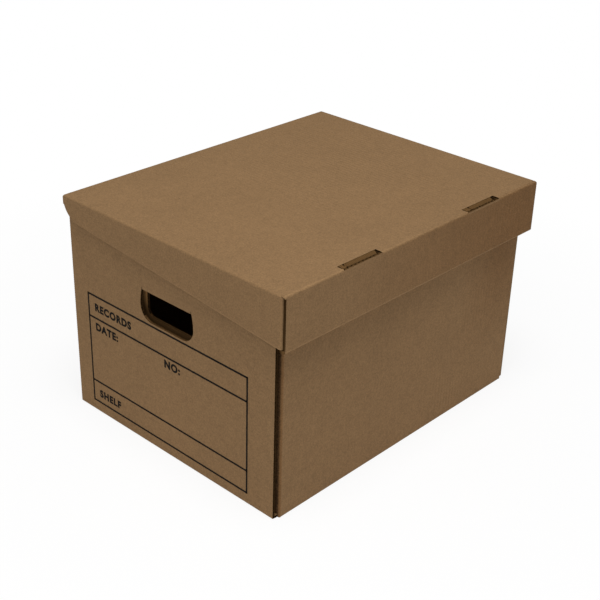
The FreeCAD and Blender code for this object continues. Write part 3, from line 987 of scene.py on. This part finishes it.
# %% Cut edges of the front skirt
RAW_DROP = 0.3                      # cut edge of the skirt below the face of the lid
RAW_FROM = 0.1                      # from this far under its face
RAW_CRUSH = 1.7                     # and for this far the cut edge is crushed shut
RAW_WAVE = 0.3                      # by this share more or less over each flute
RAW_SAG = 0.2                       # and how far it sinks there
TAB_WEAR = (1.0, 0.8)               # how much lighter crushed fluting paper is, on a torn bit and on the rest
OPEN_END = 1.35                     # where the fluting first touches the inner liner: a flute stays open
FRAYED = (1.0, 2.2)                 # depths between which the left edge is frayed
FRAYED_IN = (0.3, 0.1)              # how far in from the liner's edge, and how ragged
FRAYED_LOW = 18.0                   # it is lighter up to this far above its foot
FRAYED_WEAR = 1.0                   # by this at the foot
FRAYED_FLECKS = 0.4                 # its flecks, beside those of a crushed edge
FLECK = 0.35                        # strength of dark and light flecks on a crushed edge


def rough(x, share):
    """Wear of a crushed edge: dark and light flecks from two waves that cross."""
    return FLECK * np.sin(3.1 * x + 5 * share) + FLECK * np.sin(7.3 * x - 9 * share)


for low_x, high_x in raw_runs:
    raw = grid(lines(low_x, high_x, STEP), lines(skirt_top, skirt.high[2] - RAW_DROP, 2))
    skirt.add(skirt.flat(*raw, 0), skirt.flat(*raw, LINER))
    crushed_x, share = grid(lines(low_x, high_x, FLUTE / WAVE_STEPS), np.linspace(0, 1, 5))
    depth = RAW_FROM + share * RAW_CRUSH * (1 + RAW_WAVE * np.sin(2 * math.pi * crushed_x / FLUTE))
    crushed_z = skirt.high[2] - RAW_DROP - RAW_SAG * share
    skirt.scrap(crushed_x, crushed_z, depth, (0, -1), rough(crushed_x, share) + TAB_WEAR[1])
    skirt.fluting(low_x, high_x, skirt_top, skirt.high[2] - RAW_DROP, skirt_start + OPEN_END)
frayed_z, depth = grid(lines(skirt.low[2], skirt_top, 0.5), np.linspace(*FRAYED, 4))
frayed_x = skirt_start + FRAYED_IN[0] + FRAYED_IN[1] * np.sin(2 * math.pi * frayed_z / TOOTH)
lighter = FRAYED_WEAR * np.clip(1 - (frayed_z - skirt.low[2]) / FRAYED_LOW, 0, 1)
skirt.scrap(frayed_x, frayed_z, depth, (1, 0), FRAYED_FLECKS * rough(frayed_z, depth) + lighter)
skirt.lining(*grid(lines(skirt_start, skirt_stop, STEP), skirt.back("z")))
skirt.fluting(skirt_start + MEDIUM, skirt_stop - MEDIUM, skirt.low[2], skirt_top, skirt_start + OPEN_END)
skirt.finish("lid")

# %% Hem
HEM_DARK = (4.0, 8.0)               # the frayed ends of the hem go from lighter paper to painted shade between these depths
HEM_IN = 0.1                        # and stop this far from the front and the back
hem = Board("lid_front_hem", "-z", ("-y", "+y"), flutes="y")
hem_x = lines(skirt_start, skirt_stop, STEP)
u, v = grid(hem_x, hem.places("y"))
# painted shade towards the right end, as on the skirt
hem.liner(u, v, wear=far_end(u, *SKIRT_SHADE))
hem.lining(*grid(hem_x, hem.back("y")))
hem_runs = (hem.low[1] + FOLD, hem.high[1] - FOLD)
hem.fluting(skirt_start + MEDIUM, skirt_stop - MEDIUM, *hem_runs, skirt_start + OPEN_END)
end_y, share = grid(lines(hem.low[1] + HEM_IN, hem.high[1] - HEM_IN, 0.4), np.linspace(0, 1, 4))
away = np.minimum(end_y - hem.low[1], hem.high[1] - end_y)
# lighter frayed paper at the front, painted shade deeper in
wear = np.interp(end_y - hem.low[1], HEM_DARK, (FRAYED_WEAR, TURNED_IN_SHADE))
rounding = FOLD - np.sqrt(FOLD ** 2 - np.clip(FOLD - away, 0, FOLD) ** 2)
depth = rounding + share * (BOARD - rounding)
for end_x, hand in ((skirt_start, 1), (skirt_stop, -1)):
    hem.scrap(np.full(depth.shape, end_x - hand * PRESSED), end_y, depth, (hand, 0), wear)
hem.finish("lid")

# %% [markdown]
# The two tabs of the inner ply stand up in the slots, where they lock the lid together. The knife has
# crushed their tops. A crushed top bends forward, spreads along its slot and fills it, with a torn bit on
# the left and a notch beside that. It is one more skin, made of the fluting paper: a strip along the slot,
# with dents and flecks that are waves along it.

# %% Inner front ply
ply = Board("lid_front_inner", "+y", flutes="z")
ply_top = corners("lid_top_panel")[0][2]
ply_grid = grid(lines(ply.low[0], ply.high[0], STEP), lines(ply.low[2], ply_top, STEP))
ply.liners(*ply_grid)
ply.fluting(ply.low[0] + INSET, ply.high[0] - INSET, ply.low[2], ply_top)
print("inner front ply up to z", round(ply_top, 1), "and its tabs to", round(ply.high[2], 1))

# %% Tabs and their crushed tops
TAB_SHIFT = 1.5                     # tab's middle to the right of its slot's
TAB_HALVES = (23.0, 20.0)           # half the length of each tab at its root
TAB_SLANT = 2.7                     # how much each end slants in towards the top
BLUNT = 0.4                         # how far the crushed top falls off towards the front
SPLAY = 2.8                         # how far the front liner of a tab bends out at the top
SPLAY_CURVE = 1.5                   # power of its height that it bends with
SPREAD = 4.5                        # how far the crushed top spreads past the tab's right end
SLANT = 3.5                         # how much less it spreads there at the front
TORN = 1.8                          # how near the torn bit comes to the left end of the slot
TORN_FLECKS = 2.0                   # how much stronger its flecks are
DENT = 0.1                          # depth of the dents over the flutes
NOTCH = (-0.8, 0.9, 2.0)            # place, width and depth of the notch beside the torn bit
BEHIND = 0.2                        # how far the crushed top reaches past the tab's back
for middle, half in zip(SLOT_MIDDLES, TAB_HALVES):
    share, tab_z = grid(np.linspace(-1, 1, 9), lines(ply_top, ply.high[2] - BLUNT, 1))
    tab_half = half - TAB_SLANT * (tab_z - ply_top) / (ply.high[2] - ply_top)
    tab_x = middle + TAB_SHIFT + share * tab_half
    ply.liner(tab_x, tab_z)
    splay = BOARD + SPLAY * ((tab_z - ply_top) / (ply.high[2] - ply_top)) ** SPLAY_CURVE
    ply.add(ply.flat(tab_x, tab_z, splay), ply.flat(tab_x, tab_z, splay - LINER))
    least = middle + TAB_SHIFT - half + TAB_SLANT
    most = least + 2 * (half - TAB_SLANT)
    ply.fluting(least, most, ply_top, ply.high[2] - 2 * BLUNT)
    torn = lines(middle - SLOT_HALF + TORN, most + SPREAD, FLUTE / WAVE_STEPS, [least])
    crushed_x, share = grid(torn, np.linspace(0, 1, 9))
    crushed_x -= SLANT * share * np.clip((crushed_x - most) / SPREAD, 0, 1)
    depth = -BEHIND + share * (BOARD + SPLAY + BEHIND / 2)
    flecks = rough(crushed_x, share) * np.where(crushed_x < least, TORN_FLECKS, 1.0)
    dents = DENT * (1 - np.cos(2 * math.pi * crushed_x / FLUTE)) * share
    dents += NOTCH[2] * np.exp(-((crushed_x - least - NOTCH[0]) / NOTCH[1]) ** 2)
    crushed_z = ply.high[2] - BLUNT * share ** 2 - dents
    ply.scrap(crushed_x, crushed_z, depth, (0, -1), np.where(crushed_x < least, *TAB_WEAR) + flecks)
ply.finish("lid")

# %% [markdown]
# ## End skirts
# Each end skirt is folded down from the lid, deep at the front and shallow behind, with a round rear end,
# and folds into an ear at the front. It could be cut from a larger sheet, but a cut leaves a jagged edge on
# a coarse grid. So the rows of its grid run from the lower edge to the top fold: the upper ones are level,
# so that the fold is true, and the rest share out the height that is left.

# %% Lower edge of an end skirt
SKIRT_REAR_HEIGHT = 25.0            # where the slope would meet the rear end, if it weren't round
SKIRT_ROUND = 25.0                  # radius of that round
side_low, side_high = corners("lid_left_end_skirt")

# A straight slope from the front corner, then an arc that touches both the slope and the upright rear end
front_place = np.array([side_low[1], side_low[2]])
heel = np.array([side_high[1], side_high[2] - SKIRT_REAR_HEIGHT])
rise = (heel - front_place) / np.linalg.norm(heel - front_place)
between = math.acos(-rise @ np.array([0.0, 1.0]))
trim = SKIRT_ROUND / math.tan(between / 2)
edge_turn = np.linspace(0, math.pi - between, 16)
lean = math.atan2(rise[1], rise[0])
round_start = heel - trim * rise
round_centre = round_start + SKIRT_ROUND * np.array([-rise[1], rise[0]])
round_y = round_centre[0] + SKIRT_ROUND * np.sin(lean + edge_turn)
round_z = round_centre[1] - SKIRT_ROUND * np.cos(lean + edge_turn)
edge_y = np.concatenate([[front_place[0]], round_y])
edge_z = np.concatenate([[front_place[1]], round_z])
print("end skirt", round(side_high[2] - side_low[2], 1), "mm deep, round from y", round(round_y[0], 1))

# %% End skirts
END_RUB = 0.2                       # their folds are rubbed and highlit less than the others
EDGE_WEAR_AND_HIGHLIGHT = 0.3                     # and their lower edges are rubbed light, with a painted highlight
LEVEL = 8.0                         # rows down to this far under the fold are level
ROWS = np.array([0, 0.03, 0.1, 0.3, 0.6, 0.85, 0.95])       # shares of the height left for the others
for name, facing in ENDS:
    side = Board("lid_" + name + "_end_skirt", facing, ("+z", "-y"), flutes="y")
    u = side.places("y", marks=[*round_y, *np.linspace(hinge[1], side.high[1], 5)])
    level = side.high[2] - FOLD - LEVEL
    upper = side.places("z", low=level, high=side.high[2])
    lower_edge = np.minimum(np.interp(u, edge_y, edge_z), level)[:, None]
    v_grid = np.concatenate([lower_edge + ROWS * (level - lower_edge), grid(u, upper)[1]], axis=1)
    u_grid = np.repeat(u[:, None], v_grid.shape[1], axis=1)
    # rubbing with painted highlight on the folds, and along the lower edge
    wear = END_RUB * side.rub_and_highlight(u_grid, v_grid)
    wear[:, 0] += EDGE_WEAR_AND_HIGHLIGHT
    sheets = [rounded_rear(side.wrap(u_grid, v_grid, sink)) for sink in (0.0, LINER)]
    side.add(*sheets, wear=wear)
    inside = u >= side.low[1] + LINER
    flat = u_grid[inside], np.minimum(v_grid[inside], side.high[2] - LINER - SLACK)
    side.add(rounded_rear(side.flat(*flat, BOARD)), rounded_rear(side.flat(*flat, BOARD - LINER)))
    waves = (side.low[2] + LINER, side.high[2] - FOLD)
    order = np.argsort(edge_z)
    rear_end = np.interp(wave_places(*waves), edge_z[order], edge_y[order])
    side.fluting(*waves, side.low[1] + FOLD, rear_end)
    side.finish("lid")

# %% [markdown]
# ## Creases that bend
# Along the three moving creases the outer liner runs from one panel to the next, so it belongs to two
# bodies. If it rode on one of them, it would tear away from the other. Each is a narrow strip: a quarter
# round about the crease, then a flat bit on the panel that swings.

# %% Lid crease
BEND_STEPS = 9                      # grid places round the bend of a strip
FLAT_STEPS = 3                      # and on its flat bit


def crease_strip(places, sink):
    """Grid of a strip: the place along it, the distance out from the crease, and the distance over it.

    Out and over are a quarter round of the roll's radius, less the sink, and then a flat run back.
    """
    turn = np.linspace(0, math.pi / 2, BEND_STEPS)
    flat = np.linspace(0, ROLL + HINGE_GAP, FLAT_STEPS + 1)[1:]
    out = np.concatenate([(ROLL - sink) * np.cos(turn), -flat])
    over = np.concatenate([(ROLL - sink) * np.sin(turn), np.full(FLAT_STEPS, ROLL - sink)])
    along, out = grid(places, out)
    return along, out, np.broadcast_to(over, along.shape)


def strip_piece(name, points_over, points_under, across):
    """A crease strip as a skin, rubbed and given painted highlight where it bends."""
    points, quads, triangles, below, picked = skin(points_over, points_under)
    wear = np.zeros(points_over.shape[:2])
    wear[:, :BEND_STEPS] = RUB_AND_HIGHLIGHT * np.sin(np.linspace(0, math.pi, BEND_STEPS))
    run = points_over[..., across].reshape(-1)[picked]
    strip = (points, quads, triangles, below.astype(int), wear.reshape(-1)[picked], run)
    piece = mesh_piece(name, [strip], (KRAFT, MIDDLE))
    return piece


strip_x = lines(rear.low[0], rear.high[0], 20)
sheets = []
for sink in (0.0, LINER):
    x, out, over = crease_strip(strip_x, sink)
    sheets.append(np.stack([x, hinge[1] + out, hinge[2] + over], axis=-1))
lid_crease = strip_piece("lid_crease_liner", *sheets, 0)
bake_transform(lid_crease)

# %% Handle creases
strip_y = lines(-roll_half, roll_half, 8)
for name, hand in (("left", 1), ("right", -1)):
    sheets = []
    for sink in (0.0, LINER):
        y, out, over = crease_strip(strip_y, sink)
        sheets.append(np.stack([hand * (crease_x - out), y, crease_z - over], axis=-1))
    strip = strip_piece(name + "_handle_crease_liner", *sheets, 2)
    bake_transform(strip)

# %% [markdown]
# ## Ears
# Each end skirt folds on into an ear, held between the two plies of the front skirt. Only its lower edge
# shows, from below, so it is a plain flat board.

# %% Ears
for name in ("left", "right"):
    ear = Board("lid_" + name + "_ear", "-y", flutes="x")
    ear_grid = grid(lines(ear.low[0], ear.high[0], STEP), lines(ear.low[2], ear.high[2], STEP))
    ear.liners(*ear_grid)
    ear.fluting(ear.low[2], ear.high[2], ear.low[0], ear.high[0])
    ear.finish("lid")

# %% [markdown]
# ## Print
# One end carries a ruled form for a note of what is inside, printed in one pass of black ink. It could be
# part of the paper's material, but thin pieces of their own keep sharp edges at any distance. The ruled
# lines are strips that lie just on the liner. The words are plain captions, set in the built-in font and
# thickened, then turned into a mesh before they are put on the end. The ink shares the paper's grain, so it
# is a bit patchy.

# %% Ink
ink = bpy.data.materials.new("printing_ink")
ink.use_nodes = True
ink_tree = ink.node_tree
ink_shader = ink_tree.nodes["Principled BSDF"]
ink_place = put(ink_tree, "ShaderNodeTexCoord").outputs["Object"]
ink_grain = use(ink_tree, GRAIN, {"Vector": ink_place, "Clouds": 0.4, "Grain": 1.2})
ink_colour = colours(ink_tree, 1.0, (0.007, 0.006, 0.005, 1), ink_grain.outputs["Tone"], "MULTIPLY")
ink_tree.links.new(ink_colour, ink_shader.inputs["Base Color"])
ink_shader.inputs["Roughness"].default_value = 0.75
ink_shader.inputs["Specular IOR Level"].default_value = 0.05
print("ink:", ink.name)

# %% Ruled lines
FORM_Y = (129.2, -116.7)            # the left and right rules
FORM_Z = (148.9, 121.5, 39.9, 13.05)
RULE = 2.3                          # width of a rule
RULE_EDGE = (0.05, 0.04)            # how uneven its edges are: a quick wave and a slow one
INK = 0.05                          # how far the print stands on the paper
print_face = end_low[0]


def rule(from_y, from_z, to_y, to_z):
    """A printed line: a strip along the run, as wide as the rule, with a slightly uneven edge."""
    start = np.array([from_y, from_z])
    run = np.array([to_y, to_z]) - start
    length = np.linalg.norm(run)
    sideways = np.array([-run[1], run[0]]) / length
    along, side = grid(lines(0, length, 3), np.array([-1.0, 1.0]))
    uneven = RULE_EDGE[0] * np.sin(along * 0.9 + side) + RULE_EDGE[1] * np.sin(along * 0.37 + 2 * side)
    half = side * (RULE / 2 + uneven)
    spots = start + along[..., None] * run / length + half[..., None] * sideways
    over = np.concatenate([np.full(along.shape + (1,), print_face - INK), spots], axis=-1)
    under = over + np.array([INK + HAIR, 0, 0])
    points, quads, triangles, below, _ = skin(over, under)
    empty = np.zeros(len(points))
    return points, quads, triangles, np.zeros(len(below), int), empty, empty


overlap = RULE / 2
rules = [rule(FORM_Y[0] + overlap, z, FORM_Y[1] - overlap, z) for z in FORM_Z]
rules += [rule(y, FORM_Z[-1] - overlap, y, FORM_Z[0] + overlap) for y in FORM_Y]
form = mesh_piece("end_form_rules", rules, (ink,))
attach(form, "box")

# %% Captions
LETTER = 9.9                        # height of a capital letter
SPACING = 1.18                      # room for the thicker letters
BOLD = 0.056                        # added all round each letter, in the font's own units
CAPTIONS = (                        # words, left end and foot
    ("RECORDS", 118.5, 130.3),
    ("DATE:", 118.8, 106.2),
    ("NO:", 5.5, 108.0),
    ("SHELF", 118.8, 20.4),
)
for words, from_y, low_z in CAPTIONS:
    curve = bpy.data.curves.new("caption", "FONT")
    curve.body = words
    curve.offset = BOLD
    curve.space_character = SPACING
    curve.extrude = 0.5
    curve.resolution_u = 6
    text = bpy.data.objects.new("caption", curve)
    bpy.context.scene.collection.objects.link(text)
    shape = bpy.data.meshes.new_from_object(text.evaluated_get(bpy.context.evaluated_depsgraph_get()))
    bpy.data.objects.remove(text)
    spots = np.zeros(len(shape.vertices) * 3)
    shape.vertices.foreach_get("co", spots)
    spots = spots.reshape(-1, 3)
    spots -= spots.min(axis=0)
    high = spots.max(axis=0)
    size = LETTER / high[1]
    out = print_face + HAIR / 2 - INK * spots[:, 2] / high[2]
    placed = np.stack([out, from_y - size * spots[:, 0], low_z + size * spots[:, 1]], axis=1)
    shape.vertices.foreach_set("co", (placed * MM).ravel())
    shape.materials.clear()
    shape.materials.append(ink)
    shape.update()
    caption = bpy.data.objects.new("caption_" + words.strip(":").lower(), shape)
    bpy.context.scene.collection.objects.link(caption)
    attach(caption, "box")
    print(caption.name, len(shape.polygons), "faces")

# %% [markdown]
# ## Studio
# A picture of a studio could light the box, but two lamps are easier to match to its shadows. There are a
# pale floor, a large soft box high over the front corner, a weaker one lower on the left, and an even white
# surround. The surround and the floor are white to the camera, but light the box at much less than that, so
# that the paper renders about as its colour is written, and the cut edges keep their shadows. The floor
# gives back a little light of its own, as a white table under studio lamps does, and lifts the low parts of
# the walls.

# %% Surround
WORLD_LIGHT = 0.2                   # what the surround lights the box with; to the camera it is 1
world = bpy.data.worlds.new("surround")
bpy.context.scene.world = world
world.use_nodes = True
sky = world.node_tree
background = sky.nodes["Background"]
background.inputs["Color"].default_value = (1, 1, 1, 1)
path = put(sky, "ShaderNodeLightPath")
seen = number(sky, "MAXIMUM", path.outputs["Is Camera Ray"], path.outputs["Is Glossy Ray"])
seen = number(sky, "MAXIMUM", seen, path.outputs["Is Transmission Ray"])
strength = number(sky, "MULTIPLY_ADD", seen, 1 - WORLD_LIGHT, WORLD_LIGHT)
sky.links.new(strength, background.inputs["Strength"])
print("surround:", world.name)


# %% Lamps
LAMP_AWAY = 2.2                     # metres, as all sizes of the studio are
LAMP_SIZE = 1.1
AIM = np.array([0, 0, 0.12])        # the middle of the box


def soft_box(name, bearing, height, power):
    """A round area lamp aimed at the middle of the box, at a bearing and a height in degrees."""
    bearing, height = math.radians(bearing), math.radians(height)
    level = math.cos(height)
    towards = np.array([math.cos(bearing) * level, math.sin(bearing) * level, math.sin(height)])
    data = bpy.data.lights.new(name, "AREA")
    data.shape = "DISK"
    data.size = LAMP_SIZE
    data.energy = power
    lamp = bpy.data.objects.new(name, data)
    lamp.location = LAMP_AWAY * towards + AIM
    lamp.rotation_euler = (math.pi / 2 - height, 0, bearing + math.pi / 2)
    bpy.context.scene.collection.objects.link(lamp)
    print(name, np.round(lamp.location, 2))


soft_box("key_box", bearing=227, height=75, power=30.4)
soft_box("fill_box", bearing=205, height=45, power=5.3)

# %% Studio floor
FLOOR_WHITE = (0.8, 1.0)            # share of plain white near the box, where shadows fall, and far from it
FLOOR_FADE = (0.25, 0.7)            # distances from the middle where near ends and far begins
FLOOR_LIGHT = 0.22                  # what the floor gives back to the box, besides the light that falls on it
FLOOR_HALF = 6.0
FLOOR_DROP = 0.0003                 # just under the box
floor_paint = bpy.data.materials.new("pale_floor")
floor_paint.use_nodes = True
paint = floor_paint.node_tree
paint.nodes.clear()
matt = put(paint, "ShaderNodeBsdfDiffuse", {"Color": (0.9, 0.9, 0.9, 1)})
lift = put(paint, "ShaderNodeEmission", {"Color": (1, 1, 1, 1), "Strength": FLOOR_LIGHT})
table = put(paint, "ShaderNodeAddShader", {0: matt.outputs[0], 1: lift.outputs[0]})
glow = put(paint, "ShaderNodeEmission", {"Color": (1, 1, 1, 1), "Strength": 1.0})
floor_place = put(paint, "ShaderNodeTexCoord").outputs["Object"]
away = put(paint, "ShaderNodeVectorMath", {0: floor_place}, operation="LENGTH").outputs["Value"]
white = put(paint, "ShaderNodeMapRange", {0: away, 1: FLOOR_FADE[0], 2: FLOOR_FADE[1],
                                          3: FLOOR_WHITE[0], 4: FLOOR_WHITE[1]}).outputs["Result"]
camera_ray = put(paint, "ShaderNodeLightPath").outputs["Is Camera Ray"]
shown = number(paint, "MULTIPLY", camera_ray, white)
mixed = put(paint, "ShaderNodeMixShader", {0: shown, 1: table.outputs[0], 2: glow.outputs[0]})
paint.links.new(mixed.outputs[0], put(paint, "ShaderNodeOutputMaterial").inputs["Surface"])
stand_mesh = bpy.data.meshes.new("stand")
stand_corners = np.array([(-1, -1, 0), (1, -1, 0), (1, 1, 0), (-1, 1, 0)]) * FLOOR_HALF - (0, 0, FLOOR_DROP)
stand_mesh.from_pydata(stand_corners.tolist(), [], [(0, 1, 2, 3)])
stand_mesh.materials.append(floor_paint)
stand = bpy.data.objects.new("stand", stand_mesh)
bpy.context.scene.collection.objects.link(stand)
print("floor:", stand.name)

# %% [markdown]
# ## Camera
# The eye, the direction and the lens were fitted to the straight edges of the box. The camera looks
# slightly down at the front left corner, with a small roll. Its matrix is made from the three directions,
# so that no target object is needed.

# %% Camera
EYE = np.array([-0.874486, -0.805037, 0.741896])    # metres
TURN = math.radians(47.394)
DOWN = math.radians(27.742)
ROLL_ANGLE = math.radians(1.672)
forward = np.array([math.sin(TURN) * math.cos(DOWN), math.cos(TURN) * math.cos(DOWN), -math.sin(DOWN)])
right = np.array([math.cos(TURN), -math.sin(TURN), 0.0])
upward = np.cross(right, forward)
camera_x = math.cos(ROLL_ANGLE) * right + math.sin(ROLL_ANGLE) * upward
camera_y = -math.sin(ROLL_ANGLE) * right + math.cos(ROLL_ANGLE) * upward
stance = np.eye(4)
stance[:3] = np.stack([camera_x, camera_y, -forward, EYE], axis=1)
lens = bpy.data.cameras.new("camera")
lens.sensor_fit = "HORIZONTAL"
lens.sensor_width = 36.0
lens.lens = 70.834
camera = bpy.data.objects.new("camera", lens)
camera.matrix_world = Matrix(stance.tolist())
bpy.context.scene.collection.objects.link(camera)
bpy.context.scene.camera = camera
bpy.context.scene.view_settings.view_transform = "Standard"
print("camera", round(float(np.linalg.norm(EYE)), 2), "m away, lens", round(lens.lens, 1), "mm")
